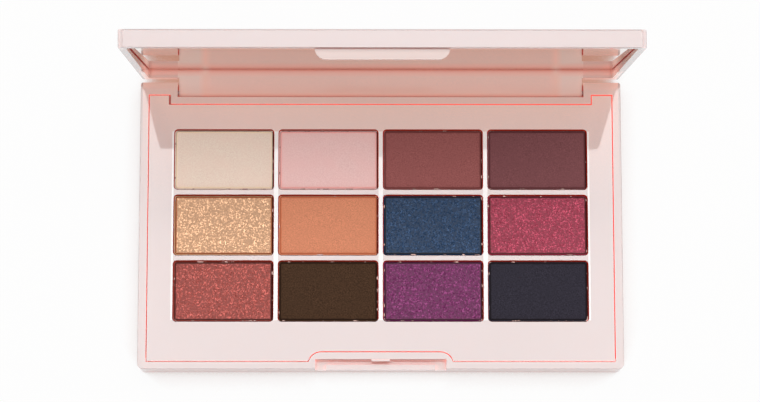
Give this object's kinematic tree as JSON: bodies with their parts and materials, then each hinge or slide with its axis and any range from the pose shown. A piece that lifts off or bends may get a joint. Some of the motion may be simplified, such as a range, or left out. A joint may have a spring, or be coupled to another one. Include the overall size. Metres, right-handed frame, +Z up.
{
  "type": "eyeshadow palette",
  "caption": "Slim rectangular eyeshadow palette: pan tray in a moulded base, with a mirrored lid hinged on two pins at the back and a front catch tab.",
  "frame": {"origin": "centre of the flat underside of the base", "axes": "+X right as seen by the user, +Y towards the hinge, +Z up; the lid stands open at rest"},
  "size_m": [0.136, 0.0883, 0.0856],
  "materials": {
    "casing": "polished moulding, very pale pink",
    "pan_metal": "drawn sheet",
    "pin_steel": "drawn wire",
    "mirror": "silvered glass",
    "tape": "thin adhesive sheet",
    "glue": "set adhesive",
    "powder_cream": "pressed powder, matte",
    "powder_pale_pink": "pressed powder, matte",
    "powder_mauve_brown": "pressed powder, matte",
    "powder_plum_brown": "pressed powder, matte",
    "powder_gold": "pressed powder, shimmering",
    "powder_terracotta": "pressed powder, matte",
    "powder_navy": "pressed powder, shimmering",
    "powder_raspberry": "pressed powder, shimmering",
    "powder_rose_copper": "pressed powder, shimmering",
    "powder_dark_brown": "pressed powder, matte",
    "powder_purple": "pressed powder, shimmering",
    "powder_blue_black": "pressed powder, matte"
  },
  "bodies": {
    "base": {"base_shell": "casing", "pan_tray": "casing", "pan_glue": "glue", "pan_01": "pan_metal", "pan_02": "pan_metal", "pan_03": "pan_metal", "pan_04": "pan_metal", "pan_05": "pan_metal", "pan_06": "pan_metal", "pan_07": "pan_metal", "pan_08": "pan_metal", "pan_09": "pan_metal", "pan_10": "pan_metal", "pan_11": "pan_metal", "pan_12": "pan_metal", "powder_01": "powder_cream", "powder_02": "powder_pale_pink", "powder_03": "powder_mauve_brown", "powder_04": "powder_plum_brown", "powder_05": "powder_gold", "powder_06": "powder_terracotta", "powder_07": "powder_navy", "powder_08": "powder_raspberry", "powder_09": "powder_rose_copper", "powder_10": "powder_dark_brown", "powder_11": "powder_purple", "powder_12": "powder_blue_black", "hinge_pin_left": "pin_steel", "hinge_pin_right": "pin_steel"},
    "lid": {"lid_shell": "casing", "mirror": "mirror", "mirror_tape": "tape"}
  },
  "joints": [
    {"name": "lid_hinge", "type": "hinge", "parent": "base", "child": "lid", "pos_m": [0, 0.0384, 0.00595], "axis": [-1, 0, 0], "range_deg": [-84.3, 20.7]}
  ]
}
